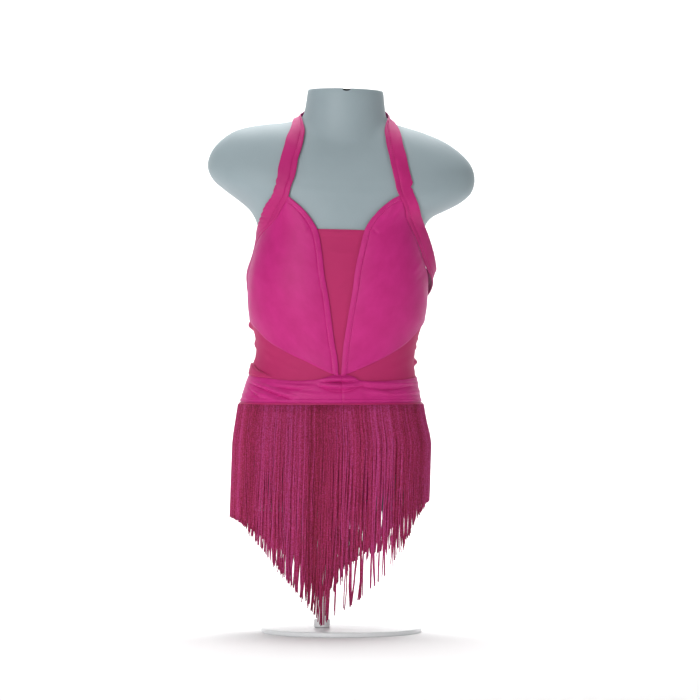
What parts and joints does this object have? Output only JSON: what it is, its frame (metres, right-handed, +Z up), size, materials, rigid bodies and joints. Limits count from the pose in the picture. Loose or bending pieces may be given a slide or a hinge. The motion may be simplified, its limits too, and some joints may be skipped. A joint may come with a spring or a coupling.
{
  "type": "fringe dance leotard on a limbless dress form",
  "caption": "Halter dance leotard with a mesh V inset, mesh waist and a pointed fringe skirt, worn by a smooth limbless torso form on a round stand.",
  "frame": {"origin": "on the floor under the middle of the stand's round base", "axes": "+Z up, -Y the front of the leotard, +X the viewer's right"},
  "size_m": [0.334, 0.2, 0.678],
  "materials": {
    "stretch_cloth": "satin stretch knit",
    "mesh_cloth": "matt power mesh",
    "fringe_yarn": "soft lustre yarn",
    "form_shell": "satin",
    "stand_metal": "satin"
  },
  "bodies": {
    "root": {"cup_left": "stretch_cloth", "cup_right": "stretch_cloth", "neckline_inset": "mesh_cloth", "waist_mesh_left": "mesh_cloth", "waist_mesh_right": "mesh_cloth", "back_mesh": "mesh_cloth", "halter_band_left": "stretch_cloth", "halter_band_right": "stretch_cloth", "brief_front_left": "stretch_cloth", "brief_front_right": "stretch_cloth", "brief_back": "stretch_cloth", "gusset": "stretch_cloth", "fringe_front": "fringe_yarn", "fringe_back": "fringe_yarn", "dress_form": "form_shell", "stand_post": "stand_metal", "stand_base": "stand_metal"}
  },
  "joints": []
}
